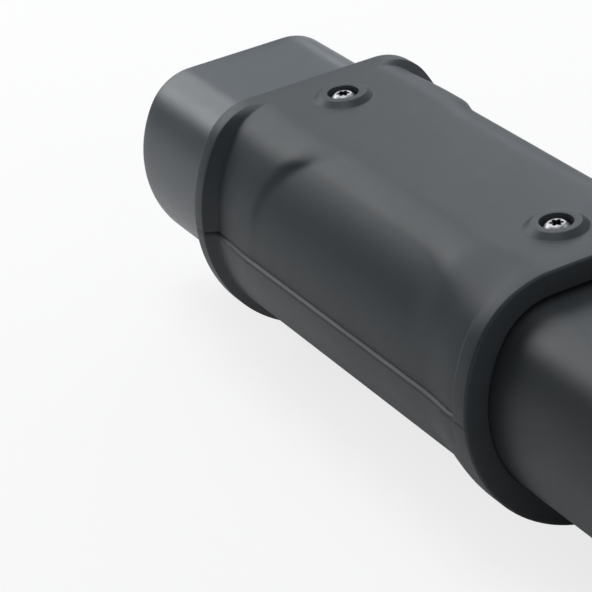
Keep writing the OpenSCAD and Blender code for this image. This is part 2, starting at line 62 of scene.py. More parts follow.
# Rounded path: each inner corner of a polyline gives way to an arc of its own radius, tangent to both sides
def roundedPath(corners, radii, arcSteps=5):
    pts = np.asarray(corners, float)
    out = [pts[0]]
    for before, here, after, radius in zip(pts[:-2], pts[1:-1], pts[2:], radii):
        a = (before - here) / np.linalg.norm(before - here)
        b = (after - here) / np.linalg.norm(after - here)
        half = math.acos(np.clip(a @ b, -1, 1)) / 2
        if radius <= 0 or half > math.radians(89.5):
            out.append(here)
            continue
        centre = here + (a + b) / np.linalg.norm(a + b) * radius / math.sin(half)
        start = here + a * radius / math.tan(half) - centre
        end = here + b * radius / math.tan(half) - centre
        angle = math.pi - 2 * half
        t = np.linspace(0, 1, arcSteps + 1)[:, None]
        out.extend(centre + (np.sin((1 - t) * angle) * start + np.sin(t * angle) * end) / math.sin(angle))
    out.append(pts[-1])
    return np.array(out)


# Quads between neighbouring rows and columns of a grid of vertex numbers
def gridQuads(ids, closedRows=False, closedColumns=False):
    if closedRows:
        ids = np.concatenate([ids, ids[:1]], 0)
    if closedColumns:
        ids = np.concatenate([ids, ids[:, :1]], 1)
    return np.stack([ids[:-1, :-1], ids[1:, :-1], ids[1:, 1:], ids[:-1, 1:]], -1).reshape(-1, 4)


class Surface:
    # gathers grids of points and their quads, and makes one closed mesh of them
    def __init__(self):
        self.points = []
        self.quads = []
        self.count = 0

    def addPoints(self, pts):
        pts = np.asarray(pts, float)
        ids = np.arange(self.count, self.count + pts[..., 0].size).reshape(pts.shape[:-1])
        self.points.append(pts.reshape(-1, 3))
        self.count += ids.size
        return ids

    def addQuads(self, quads):
        self.quads.append(np.asarray(quads, int).reshape(-1, 4))

    def grid(self, pts, closedRows=False, closedColumns=False):
        ids = self.addPoints(pts)
        self.addQuads(gridQuads(ids, closedRows, closedColumns))
        return ids

    def disc(self, rim, centre):
        # a fan from a closed ring of vertex numbers to one centre point
        mid = self.addPoints(np.asarray(centre, float)[None])[0]
        nextRim = np.roll(rim, -1)
        self.addQuads(np.stack([rim, nextRim, np.full(rim.shape, mid), np.full(rim.shape, mid)], -1))

    def build(self, name, slot, material, replaced=(), sharp=40, body="root"):
        pts = toRow(np.concatenate(self.points))
        faces = [tuple(q) if q[2] != q[3] else tuple(q[:3]) for q in np.concatenate(self.quads).tolist()]
        mesh = bpy.data.meshes.new(name)
        mesh.from_pydata(pts, [], faces)
        bm = bmesh.new()
        bm.from_mesh(mesh)
        bmesh.ops.remove_doubles(bm, verts=bm.verts, dist=2e-7)
        bmesh.ops.dissolve_degenerate(bm, edges=bm.edges, dist=1e-8)
        bmesh.ops.recalc_face_normals(bm, faces=bm.faces)
        openEdges = sum(1 for e in bm.edges if len(e.link_faces) != 2)
        if bm.calc_volume(signed=True) < 0:
            bmesh.ops.reverse_faces(bm, faces=bm.faces)
        bm.to_mesh(mesh)
        bm.free()
        mesh.polygons.foreach_set("use_smooth", np.ones(len(mesh.polygons), bool))
        mesh.set_sharp_from_angle(angle=math.radians(sharp))
        piece = bpy.data.objects.new(name, mesh)
        bpy.context.scene.collection.objects.link(piece)
        mesh.materials.append(material)
        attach(piece, body)
        if replaced:
            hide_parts(*replaced)
        print("made", name, len(mesh.polygons), "faces,", openEdges, "open edges")
        return piece


# Materials


class Wire:
    # a socket that takes part in Python maths: each operator adds one Math node
    def __init__(self, shader, socket):
        self.shader = shader
        self.socket = socket

    def math(self, operation, *values):
        return self.shader.add("ShaderNodeMath", {"operation": operation}, dict(enumerate(values)))

    def __add__(self, other):
        return self.math("ADD", self, other)

    def __radd__(self, other):
        return self.math("ADD", other, self)

    def __sub__(self, other):
        return self.math("SUBTRACT", self, other)

    def __rsub__(self, other):
        return self.math("SUBTRACT", other, self)

    def __mul__(self, other):
        return self.math("MULTIPLY", self, other)

    def __rmul__(self, other):
        return self.math("MULTIPLY", other, self)

    def __gt__(self, other):
        return self.math("GREATER_THAN", self, other)


class Shader:
    # one material's node tree
    def __init__(self, name):
        self.material = bpy.data.materials.new(name)
        self.material.use_nodes = True
        self.tree = self.material.node_tree
        self.tree.nodes.clear()

    def add(self, kind, settings=None, inputs=None, output=0):
        node = self.tree.nodes.new(kind)
        for key, value in (settings or {}).items():
            if key == "stops":
                ramp = node.color_ramp
                while len(ramp.elements) < len(value):
                    ramp.elements.new(0.5)
                for element, (place, colour) in zip(ramp.elements, value):
                    element.position = place
                    element.color = colour
            else:
                setattr(node, key, value)
        for key, value in (inputs or {}).items():
            if isinstance(value, Wire):
                self.tree.links.new(value.socket, node.inputs[key])
            else:
                node.inputs[key].default_value = value
        return Wire(self, node.outputs[output])

    def place(self, scale=(1, 1, 1)):
        coords = self.add("ShaderNodeTexCoord", output="Object")
        return self.add("ShaderNodeMapping", {}, {"Vector": coords, "Scale": scale})

    def noise(self, scale, detail=3, roughness=0.5, vector=None):
        return self.add("ShaderNodeTexNoise", {}, {"Vector": vector or self.place(), "Scale": scale,
                                                   "Detail": detail, "Roughness": roughness})

    def ramp(self, factor, stops):
        return self.add("ShaderNodeValToRGB", {"stops": stops}, {"Fac": factor})

    # of a Mix node's sockets, 6 and 7 are the two colours, and 2 is the mixed one
    def mixColour(self, factor, a, b):
        return self.add("ShaderNodeMix", {"data_type": "RGBA"}, {0: factor, 6: a, 7: b}, output=2)

    def bump(self, height, strength, distance):
        return self.add("ShaderNodeBump", {}, {"Height": height, "Strength": strength,
                                               "Distance": distance})

    def finish(self, inputs):
        surface = self.add("ShaderNodeBsdfPrincipled", {}, inputs)
        self.addOutput(surface)
        return self.material

    def addOutput(self, surface):
        out = self.tree.nodes.new("ShaderNodeOutputMaterial")
        self.tree.links.new(surface.socket, out.inputs["Surface"])


def grey(level, tint=(1, 1, 1)):
    return (level * tint[0], level * tint[1], level * tint[2], 1)


coolTint = (0.86, 1.0, 1.12)
warmTint = (1, 0.98, 0.93)
black = (0, 0, 0, 1)
white = (1, 1, 1, 1)


def darker(colour, share):
    return tuple(c * share for c in colour[:3]) + (1,)


# Moulded plastic with a fine spark-eroded grain: slow drifts of tone and gloss, and a bump of two grains
def mouldedPlastic(name, level, roughness=0.47, grain=0.5, tint=coolTint, specks=0.03, shine=0.32):
    s = Shader(name)
    drift = s.noise(38, 4, 0.55)
    fine = s.noise(5200, 2, 0.6)
    coarse = s.noise(1500, 2, 0.5)
    flow = s.noise(240, 3, 0.6)
    base = s.mixColour(drift, grey(level * 0.94, tint), grey(level * 1.06, tint))
    mottled = s.mixColour(flow * 0.35, base, grey(level * 0.86, tint))
    dust = s.ramp(s.noise(900, 1, 0.3), [(0.74, black), (0.78, white)])
    colour = s.mixColour(dust * specks, mottled, grey(0.35, tint))
    gloss = roughness + 0.1 * (drift - 0.5) + 0.08 * (fine - 0.5) + 0.06 * (flow - 0.5)
    height = fine * 0.6 + coarse * 0.4
    return s.finish({"Base Color": colour, "Roughness": gloss, "Specular IOR Level": shine,
                     "Normal": s.bump(height, grain, 0.00003)})


# Turned and plated metal: fine rings round the pin's axis from a noise stretched round it, and soft stains.
# Where the mesh has an attribute that marks a driver's recess, that is painted near-black and dull, as
# painted shade in the deep recess.
def platedMetal(name, colour, roughness=0.24, along="x", recess=None):
    s = Shader(name)
    stretch = {"x": (5200, 60, 60), "z": (60, 60, 5200)}[along]
    rings = s.noise(1, 2, 0.5, s.place(scale=stretch))
    stains = s.noise(420, 3, 0.6)
    stained = s.ramp(stains, [(0.45, black), (0.75, white)])
    tone = s.mixColour(stained * 0.5, colour, darker(colour, 0.72))
    gloss = roughness + 0.12 * rings + 0.12 * (stains - 0.5)
    metallic = 1.0
    if recess:
        # painted shade: the marked recess is coloured near-black
        recessShade = s.add("ShaderNodeAttribute", {"attribute_name": recess}, output="Fac")
        tone = s.mixColour(recessShade, tone, grey(0.012))
        gloss = gloss + 0.5 * recessShade
        metallic = 1 - 0.8 * recessShade
    return s.finish({"Base Color": tone, "Metallic": metallic, "Roughness": gloss,
                     "Normal": s.bump(rings, 0.25, 0.00001)})


# Touch guard on a contact's end: a lighter front disc on a cone painted dark, as painted shade on its
# sides.
# The distance from the contact's axis is sqrt((|y| - pitch)^2 + (z - axisZ)^2).
def contactTip(name, discLevel, coneShadeLevel, discRadius, pitch=0.016):
    s = Shader(name)
    coords = s.add("ShaderNodeTexCoord", output="Object")
    y = s.add("ShaderNodeSeparateXYZ", {}, {"Vector": coords}, output="Y")
    z = s.add("ShaderNodeSeparateXYZ", {}, {"Vector": coords}, output="Z")
    across = y.math("ABSOLUTE", y) - pitch
    over = z - axisZ
    reach = over.math("SQRT", across * across + over * over)
    # beyond the disc the tone drops to the cone's painted shade
    tone = s.mixColour(reach > discRadius, grey(discLevel), grey(coneShadeLevel))
    fine = s.noise(4000, 2, 0.5)
    return s.finish({"Base Color": tone, "Roughness": 0.5 + 0.08 * fine,
                     "Normal": s.bump(fine, 0.3, 0.00002)})


# Soft rubber: matt, with a faint bloom
def softRubber(name, level):
    s = Shader(name)
    bloom = s.noise(300, 4, 0.6)
    fine = s.noise(4000, 2, 0.5)
    colour = s.mixColour(bloom, grey(level), grey(level * 1.5))
    return s.finish({"Base Color": colour, "Roughness": 0.72 + 0.1 * bloom,
                     "Normal": s.bump(fine, 0.3, 0.00002)})


# Wire insulation: extruded and slightly glossy. Where a second colour is named, it's a stripe along the
# wire over the height z = axisZ + stripeFrom.
def insulation(name, colour, stripe=None, stripeFrom=-0.0012):
    s = Shader(name)
    drift = s.noise(120, 3, 0.5)
    shade = s.mixColour(drift * 0.3, colour, darker(colour, 0.7))
    if stripe:
        coords = s.add("ShaderNodeTexCoord", output="Object")
        height = s.add("ShaderNodeSeparateXYZ", {}, {"Vector": coords}, output="Z")
        side = (height - axisZ) > stripeFrom
        shade = s.mixColour(side, shade, stripe)
    return s.finish({"Base Color": shade, "Roughness": 0.36 + 0.1 * drift,
                     "Normal": s.bump(s.noise(900, 2, 0.5), 0.12, 0.00003)})


housingPlastic = mouldedPlastic("housingPlastic", 0.051)
lowerPlastic = mouldedPlastic("lowerHousingPlastic", 0.05)
# The two coupler shells are one plastic: the inlet's copy is lighter as painted light, the plug's darker as
# painted shade
litInletShellPlastic = mouldedPlastic("litInletShellPlastic", 0.086, roughness=0.38, grain=0.35, shine=0.5)
shadedPlugShellPlastic = mouldedPlastic("shadedPlugShellPlastic", 0.034, roughness=0.46, grain=0.35, shine=0.4)
insertPlastic = mouldedPlastic("insertPlastic", 0.07, roughness=0.55, tint=(0.97, 0.98, 1.03))
tipPlastic = contactTip("tipPlastic", 0.06, 0.012, 0.0019)
retainerPlastic = mouldedPlastic("retainerPlastic", 0.62, roughness=0.5, tint=warmTint, specks=0)
jointPlastic = mouldedPlastic("jointPlastic", 0.02, roughness=0.4, specks=0)
contactMetal = platedMetal("contactMetal", (0.86, 0.85, 0.83, 1))
screwSteel = platedMetal("screwSteel", (0.42, 0.42, 0.43, 1), 0.4, along="z", recess="recess")
gasketRubber = softRubber("gasketRubber", 0.012)
wireColours = {
    "earth": insulation("earthInsulation", (0.09, 0.32, 0.03, 1), (0.75, 0.6, 0.03, 1)),
    "line": insulation("lineInsulation", (0.09, 0.035, 0.015, 1)),
    "neutral": insulation("neutralInsulation", (0.02, 0.07, 0.36, 1)),
    "pilot": insulation("pilotInsulation", (0.62, 0.62, 0.6, 1)),
    "sense": insulation("senseInsulation", (0.6, 0.2, 0.01, 1)),
}
print("materials made")

# Housing

housing = {
    "start": 38, "end": 152,
    "roundRadius": 31.4, "seamStep": 0.7, "flat": 26.6, "corner": 13, "bulge": 5,
    "rimRadius": 33.5, "frontRim": 4, "rearRim": 5, "rimFace": 1.6, "rimFoot": 2.0,
    "flare": 14, "rearCorner": 20, "lip": 1.2, "lowLip": 0.5, "lipRound": 0.75,
    "wallHole": 28.15, "wallHoleFlat": 21.65, "holeEdge": 0.5, "cavityFlat": 24.1, "cavityCorner": 14.15,
    "seamSwell": 0.6, "swellStart": 43.5, "swellLength": 17, "swellAngle": 0.55,
    "turnOut": 0.2, "turnHeight": 2.5, "ledgeOut": 0.9, "ledgeDrop": 0.65, "lipAngle": 0.2,
    "edgeClear": 0.01, "edgeRound": 0.06, "screws": (53, 137), "patch": 8,
}
# The scoops at the sides: x at the front and rear ends, how far each leans with height, and how it fades
grip = {"front": 60.5, "frontLean": 6, "rise": 3.5, "riseLean": 7, "rear": 130, "rearLean": 11,
        "fadeBack": 4, "fade": 9, "fadeLean": 12, "leanFrom": 11, "leanOver": 13, "bulge": 0.35}
boss = {"height": 1.2, "topRadius": 5.1, "footRadius": 6.7, "holeRadius": 3.5, "floor": -1.4,
        "levelOver": 1.8}


# D outline from the seam at +y over the top to the middle. The side is an arc that stands upright at the
# seam, the corner an arc tangent to it, and the flat a straight line. It takes a value for each station and
# returns the points as [station, point, (y, z)].
def upperOutline(radius, side, flat, corner, counts=(26, 22, 6, 8), flatStop=8.0):
    radius, side, flat, corner = (np.asarray(a, float)[:, None] for a in (radius, side, flat, corner))
    sideY = radius - side
    cornerZ = flat - corner
    cornerY = sideY + np.sqrt((side - corner) ** 2 - cornerZ ** 2)
    turn = np.arctan2(cornerZ, cornerY - sideY)
    a = turn * np.linspace(0, 1, counts[0])[None]
    b = turn + (math.pi / 2 - turn) * np.linspace(0, 1, counts[1] + 1)[None, 1:]
    flat1 = cornerY + (flatStop - cornerY) * np.linspace(0, 1, counts[2] + 1)[None, 1:]
    flat2 = flatStop * (1 - np.linspace(0, 1, counts[3] + 1)[None, 1:]) + 0 * cornerY
    y = np.concatenate([sideY + side * np.cos(a), cornerY + corner * np.cos(b), flat1, flat2], 1)
    z = np.concatenate([side * np.sin(a), cornerZ + corner * np.sin(b),
                        flat + 0 * flat1, flat + 0 * flat2], 1)
    return np.stack([y, z], -1)


# Mirrors a half outline that ends on y = 0, so that it runs from seam to seam
def bothSides(half):
    other = half[:, -2::-1] * np.array([-1, 1])
    return np.concatenate([half, other], 1)


# Radius at the seam along the housing: the front rim with rounded edges and its foot down to the barrel,
# the barrel, a flare that eases up towards the rear rim, a step of the lip's height, and the rim. Rows are
# x, radius.
def housingStations(h, barrel, lip):
    x0, x1 = h["start"], h["end"]
    rim = h["rimRadius"]
    rimEnd = x0 + h["frontRim"]
    rearX = x1 - h["rearRim"]
    front = roundedPath([[x0, rim - h["rimFace"]], [x0, rim], [rimEnd, rim],
                         [rimEnd + h["rimFoot"], barrel], [rimEnd + 5, barrel]], [0.7, 0.5, 0.8], 6)
    xs = h["screws"]
    p = h["patch"]
    middleX = np.concatenate([np.linspace(xs[0] - p, xs[0] + p, 25),
                              np.linspace(xs[0] + p, xs[1] - p, 72)[1:],
                              np.linspace(xs[1] - p, xs[1] + p, 25)[1:]])
    top = rim - lip
    flareRise = barrel + (top - barrel) * ease((middleX - rearX + h["flare"]) / h["flare"])
    middle = np.stack([middleX, flareRise], -1)
    tail = roundedPath([middle[-1], [rearX - 0.02, top], [rearX + 0.35, rim], [x1, rim],
                        [x1, rim - h["rimFace"]]], [0.05, min(h["lipRound"], lip), 0.6], 8)[1:]
    return np.concatenate([front[front[:, 0] < middleX[0] - 1e-6], middle, tail])


# Between the rims both halves swell a little at the seam: the share eases in behind the front rim and out
# again over the flare, share = ease((x - start) / length) * (1 - ease((x - flareX) / flare))
def swellShare(h, x):
    flareX = h["end"] - h["rearRim"] - h["flare"]
    return ease((x - h["swellStart"]) / h["swellLength"]) * (1 - ease((x - flareX) / h["flare"]))


# The flat runs level from rim to rim, and only rounds over with the rims' outer edges
def flatAlong(h, x, radius):
    nearEnd = (x < h["start"] + 0.75) | (x > h["end"] - 0.65)
    return h["flat"] - np.where(nearEnd, h["rimRadius"] - radius, 0)


# Screw boss with its counterbore, as [distance from the screw's axis, height over the flat]
def bossPath(b):
    return roundedPath([[b["footRadius"] + 0.9, 0], [b["footRadius"], 0], [b["topRadius"], b["height"]],
                        [b["holeRadius"], b["height"]], [b["holeRadius"], b["floor"]], [0.2, b["floor"]]],
                       [0.9, 0.5, 0.18, 0.25], 5)


# Fills a square opening in a skin with rings that run from its edge in to a counterbore's floor. heightAt
# gives the skin's height at x, y; path gives each ring's radius and its height over a level that fades in
# from the skin: z = skin * (1 - share) + level * share + rise, where the share grows as the rings shrink.
def screwPatch(surface, edgeIds, edgePoints, centre, path, heightAt, level, sign):
    dx = edgePoints[:, 0] - centre
    dy = edgePoints[:, 1]
    angle = np.arctan2(dy, dx)
    square = np.hypot(dx, dy)
    outer = path[0, 0]
    rows = []
    for t in (0.35, 0.7):
        r = square * (1 - t) + outer * t
        x = centre + r * np.cos(angle)
        y = r * np.sin(angle)
        rows.append(np.stack([x, y, heightAt(x, y)], -1))
    for radius, rise in path:
        x = centre + radius * np.cos(angle)
        y = radius * np.sin(angle)
        flatShare = ease((outer - radius) / boss["levelOver"])
        z = heightAt(x, y) * (1 - flatShare) + level * flatShare + sign * rise
        rows.append(np.stack([x, y, z], -1))
    ids = surface.addPoints(np.array(rows))
    ids = np.concatenate([edgeIds[None], ids], 0)
    surface.addQuads(gridQuads(ids, closedColumns=True))
    surface.disc(ids[-1], [centre, 0, level + sign * path[-1, 1]])


# Closes a half's outline: its seam edge at +y, the rows of its skin and the same edge mirrored. Rows of the
# skin that would lie past the edge's foot are put just beyond it, on the side that sign names.
def withSeamEdges(x, skin, edgeY, edgeZ, foot, sign):
    rows = skin[:, 1:-1].copy()
    past = (foot - rows[..., 1]) * sign > 0
    rows[..., 1] = np.where(past, foot + sign * 1e-4 + rows[..., 1] * 0.01, rows[..., 1])
    right = np.stack([edgeY, edgeZ], -1)
    left = right[:, ::-1] * np.array([-1, 1])
    outline = np.concatenate([right, rows, left], 1)
    return np.concatenate([np.repeat(x[:, None, None], outline.shape[1], 1), outline], -1)


# Adds a half's outer skin with square windows cut out round the screws, and fills them with bosses
def skinWithBosses(surface, h, outer, heightAt, level, sign):
    ids = surface.addPoints(outer)
    x = outer[:, 0, 0]
    middle = outer[len(x) // 2]
    onEdge = np.isclose(np.abs(middle[:, 1]), h["patch"], atol=1e-6) & (middle[:, 2] * sign > 20)
    j0, j1 = np.flatnonzero(onEdge)[[0, -1]]
    keep = np.ones((ids.shape[0] - 1, ids.shape[1] - 1), bool)
    loops = []
    for centre in h["screws"]:
        i0 = int(np.argmin(np.abs(x - (centre - h["patch"]))))
        i1 = int(np.argmin(np.abs(x - (centre + h["patch"]))))
        keep[i0:i1, j0:j1] = False
        loops.append(np.concatenate([ids[i0:i1, j0], ids[i1, j0:j1], ids[i1:i0:-1, j1],
                                     ids[i0, j1:j0:-1]]))
    surface.addQuads(gridQuads(ids)[keep.reshape(-1)])
    points = outer.reshape(-1, 3)
    for centre, loop in zip(h["screws"], loops):
        screwPatch(surface, loop, points[loop], centre, bossPath(boss), heightAt, level, sign)
    return ids


# Upper half: at each x a D outline with bulged sides, blended into one with flatter sides where the grip
# is, point = shell * (1 - inGrip) + gripSide * inGrip. inGrip eases in and out along x, and higher up it
# starts later and ends sooner.
def upperHousing(h, g):
    surface = Surface()
    stations = housingStations(h, h["roundRadius"] - h["seamStep"], h["lip"])
    x = stations[:, 0]
    flat = flatAlong(h, x, stations[:, 1])
    radius = stations[:, 1] + h["seamSwell"] * swellShare(h, x)
    atRear = ease((x - (h["end"] - h["rearRim"] - h["flare"] - 2)) / (h["flare"] + 2))
    corner = h["corner"] + (h["rearCorner"] - h["corner"]) * atRear
    shell = bothSides(upperOutline(radius, radius + h["bulge"] * (1 - atRear), flat, corner))
    gripSide = bothSides(upperOutline(radius, radius + g["bulge"], flat, corner))
    lean = np.clip((shell[..., 1] - g["leanFrom"]) / g["leanOver"], 0, 1.2)
    frontStart = g["front"] + g["frontLean"] * lean ** 2
    frontLength = g["rise"] + g["riseLean"] * lean
    rearStart = g["rear"] - g["rearLean"] * lean ** 1.2 - g["fadeBack"]
    rearLength = g["fade"] + g["fadeLean"] * lean
    xx = x[:, None]
    inGrip = ease((xx - frontStart) / frontLength) * (1 - ease((xx - rearStart) / rearLength))
    skin = shell * (1 - inGrip[..., None]) + gripSide * inGrip[..., None]
    # close to the seam it turns out a little, by turnOut * (1 - z / turnHeight)^2
    turnOut = h["turnOut"] * np.clip(1 - skin[..., 1] / h["turnHeight"], 0, 1) ** 2
    skin[..., 0] += np.sign(skin[..., 0]) * turnOut * swellShare(h, x)[:, None]
    # the lower edge is rounded a little and stands just clear of the seam
    clear = h["edgeClear"]
    edge = h["edgeRound"]
    t = np.linspace(0, math.pi / 2, 5)[::-1][None]
    nearY = skin[:, :1, 0]
    edgeY = nearY - edge + edge * np.cos(t)
    edgeZ = clear + edge - edge * np.sin(t) + 0 * nearY
    outer = withSeamEdges(x, skin, edgeY, edgeZ, clear + edge, 1)
    ids = skinWithBosses(surface, h, outer, lambda px, py: h["flat"] + 0 * px, h["flat"], 1)
    innerShell(surface, h, ids, x, True, clear)
    return surface


# The inner wall of a half: the hole that fits the shell at both ends, and the wider cavity between them.
# It has the outer wall's own rows and columns, so that strips of quads close the two along the seam and at
# the ends.
def innerShell(surface, h, outerIds, x, up, clear):
    columns = outerIds.shape[1]
    wall = h["frontRim"]
    inCavity = (x > h["start"] + wall) & (x < h["end"] - wall)
    atFace = (x < h["start"] + 1e-6) | (x > h["end"] - 1e-6)
    widened = np.where(atFace, h["holeEdge"], 0)
    radius = h["wallHole"] + widened
    if up:
        flat = np.where(inCavity, h["cavityFlat"], h["wallHoleFlat"] + widened)
        hole = bothSides(upperOutline(radius, radius + 1e-6, flat, np.full(len(x), h["cavityCorner"])))
    else:
        hole = lowerArc(radius, 60)
    share = np.linspace(0, hole.shape[1] - 1, columns)
    low = np.floor(share).astype(int).clip(0, hole.shape[1] - 2)
    part = (share - low)[None, :, None]
    inner = hole[:, low] * (1 - part) + hole[:, low + 1] * part
    inner[:, (0, -1), 1] = clear
    ids = surface.grid(np.concatenate([np.repeat(x[:, None, None], columns, 1), inner], -1))
    for column in (0, -1):
        surface.addQuads(gridQuads(np.stack([outerIds[:, column], ids[:, column]], 0)))
    for row in (0, -1):
        surface.addQuads(gridQuads(np.stack([outerIds[row], ids[row]], 0)))


# Half circle under the axis from the seam at +y to the seam at -y
def lowerArc(radius, steps):
    radius = np.asarray(radius, float)[:, None]
    angle = -np.linspace(0, math.pi, steps)[None] + 0 * radius
    return np.stack([radius * np.cos(angle), radius * np.sin(angle)], -1)


# Skin of the lower half from seam to seam. radiusAt gives the radius at an angle under the seam, and
# between y = patch and y = -patch the steps are even in y, z = -sqrt(radius^2 - y^2).
def lowerSkin(radius, radiusAt, patch, steps=46):
    radius = radius[:, None]
    side = -np.arccos(patch / radius) * np.linspace(0, 1, steps)[None]
    sideRadius = radiusAt(-side)
    sidePts = np.stack([sideRadius * np.cos(side), sideRadius * np.sin(side)], -1)
    y = patch * (1 - np.linspace(0, 1, 9)[None, 1:]) + 0 * radius
    midPts = np.stack([y, -np.sqrt(radius ** 2 - y ** 2)], -1)
    return bothSides(np.concatenate([sidePts, midPts], 1))


# Lower half: a round that swells towards the seam and steps down by the lip ahead of the rear rim,
# radius + swell * (1 - ease(angle / swellAngle)) - lip * (1 - ease(angle / lipAngle)), where the angle is
# measured from the seam
def lowerHousing(h):
    surface = Surface()
    stations = housingStations(h, h["roundRadius"], h["lowLip"])
    x = stations[:, 0]
    # under the seam the flare runs on into the rim without a lip
    rearX = h["end"] - h["rearRim"]
    flareRise = (h["rimRadius"] - h["roundRadius"]) * ease((x - rearX + h["flare"]) / h["flare"])
    onBarrel = (x > h["start"] + 7) & (x < rearX + 0.5)
    radius = np.where(onBarrel, h["roundRadius"] + flareRise, stations[:, 1])
    swell = (h["ledgeOut"] - h["seamStep"] + h["seamSwell"] + 0.1) * swellShare(h, x)[:, None]
    lip = (radius - stations[:, 1])[:, None]

    def radiusAt(angle):
        swollen = radius[:, None] + swell * (1 - ease(angle / h["swellAngle"]))
        return swollen - lip * (1 - ease(angle / h["lipAngle"]))

    # the seam edge is a ledge that slopes out and down, rounded off at its foot
    clear = -h["edgeClear"]
    between = ease((x - h["start"] - h["frontRim"] - 0.5) / 1.5) * (1 - ease((x - rearX + 0.6) / 0.8))
    out = h["ledgeOut"] * (0.2 + 0.8 * between[:, None])
    skin = lowerSkin(radius, radiusAt, h["patch"])
    near = skin[:, :1, 0]
    foot = roundedPath([[0, 0], [0.86, 0.8], [1, 1.6]], [0.5], 4)
    edgeY = near - out + out * foot[None, :, 0]
    edgeZ = clear - h["ledgeDrop"] * foot[None, :, 1] + 0 * near
    outer = withSeamEdges(x, skin, edgeY, edgeZ, edgeZ[:, -1:], -1)

    def heightAt(px, py):
        order = np.argsort(x, kind="stable")
        return -np.sqrt(np.interp(px, x[order], radius[order]) ** 2 - py ** 2)

    ids = skinWithBosses(surface, h, outer, heightAt, -h["roundRadius"], -1)
    innerShell(surface, h, ids, x, False, clear)
    return surface


upperHousing(housing, grip).build("upper_housing_skin", "housing_plastic", housingPlastic,
                                  ["upper_housing"])
lowerHousing(housing).build("lower_housing_skin", "housing_plastic", lowerPlastic, ["lower_housing"])

# Coupler shells

coupler = {
    "radius": 28, "flat": 21.5, "flatDrop": 0.7, "corner": 14, "cornerDrop": 1.1, "wall": 2.5, "length": 60,
    "nose": 38, "edge": 1.0, "ledge": 2, "ledgeLength": 3, "ring": (42.8, 44.8), "ringHeight": 1.4,
    "keyWidth": 9, "keyHeight": 1, "keyEdge": 0.9, "keyStart": 0.9, "keyEnd": 36.4,
}


# Closed D outline at an inward offset, which shrinks the round, the flat and the corner alike
def fullOutline(radius, flat, corner, offset, lowSteps=70):
    inner = radius - offset
    top = bothSides(upperOutline(inner, inner + 1e-6, flat - offset, corner - offset, (20, 16, 3, 6), 6.0))
    angle = -np.linspace(math.pi, 0, lowSteps)[None, 1:-1] + 0 * offset[:, None]
    low = np.stack([inner[:, None] * np.cos(angle), inner[:, None] * np.sin(angle)], -1)
    return np.concatenate([top, low], 1)


# Splits a polyline's long stretches into even steps of about 3 mm
def evenSteps(path, longest=3):
    fine = [path[:1]]
    for a, b in zip(path[:-1], path[1:]):
        steps = max(1, int(np.linalg.norm(b - a) / longest))
        fine.append(a + (b - a) * np.linspace(0, 1, steps + 1)[1:, None])
    return np.concatenate(fine)


# Shell: a wall profile of [x, offset] points carried round the D outline, with a key rib raised under the
# nose, z - keyHeight * across * along, where across eases over the rib's width and along over its length
def couplerShell(c, flip):
    w, n = c["wall"], c["nose"]
    r0, r1 = c["ring"]
    ledgeEnd = n + c["ledgeLength"]
    ledge = w + c["ledge"]
    corners = [[c["length"], 0], [r1, 0], [r1, -c["ringHeight"]], [r0, -c["ringHeight"]], [r0, 0], [0, 0],
               [0, w], [n, w], [n, ledge], [ledgeEnd, ledge], [ledgeEnd, w], [c["length"], w],
               [c["length"], 0.01]]
    path = evenSteps(roundedPath(corners, [0.1, 0.2, 0.2, 0.1, c["edge"], 0.5, 0.1, 0.2, 0.2, 0.1, 0.1], 6))
    x, offset = path[:, 0], path[:, 1]
    # the outside's flat lies a little lower and its corners are tighter than an even wall would give
    outerShare = np.clip(1 - offset / w, 0, 1)
    ring = fullOutline(c["radius"], c["flat"] - c["flatDrop"] * outerShare,
                       c["corner"] - c["cornerDrop"] * outerShare, offset)
    y = ring[..., 0]
    under = ring[..., 1] < -c["radius"] / 2
    outside = (offset < 0.4)[:, None]
    across = 1 - ease((np.abs(y) - c["keyWidth"] / 2 + 0.5) / c["keyEdge"])
    along = ease(x - c["keyStart"]) * (1 - ease(x - c["keyEnd"]))
    rise = c["keyHeight"] * across * along[:, None] * under * outside
    ring = np.stack([y, ring[..., 1] - rise], -1)
    xx = totalLength - x if flip else x
    surface = Surface()
    pts = np.concatenate([np.repeat(xx[:, None, None], ring.shape[1], 1), ring], -1)
    surface.grid(pts, closedRows=True, closedColumns=True)
    return surface


# the inlet shell takes the lighter copy of the shell plastic (painted light), the plug shell the darker
# copy (painted shade)
couplerShell(coupler, False).build("inlet_shell_skin", "shell_plastic", litInletShellPlastic, ["inlet_shell"])
couplerShell(coupler, True).build("plug_shell_skin", "shell_plastic", shadedPlugShellPlastic, ["plug_shell"])

# Screws

screw = {"headRadius": 2.8, "headHeight": 2.4, "domeStart": 0.9, "domeRadius": 1.9, "domeTop": 0.08,
         "crownRadius": 1.6, "lobeRadius": 1.3, "lobeDepth": 0.6, "recess": 1.5,
         "shankRadius": 1.25, "reachTop": 9.0, "reachLow": 8.0, "point": 0.6, "sink": 0.35}


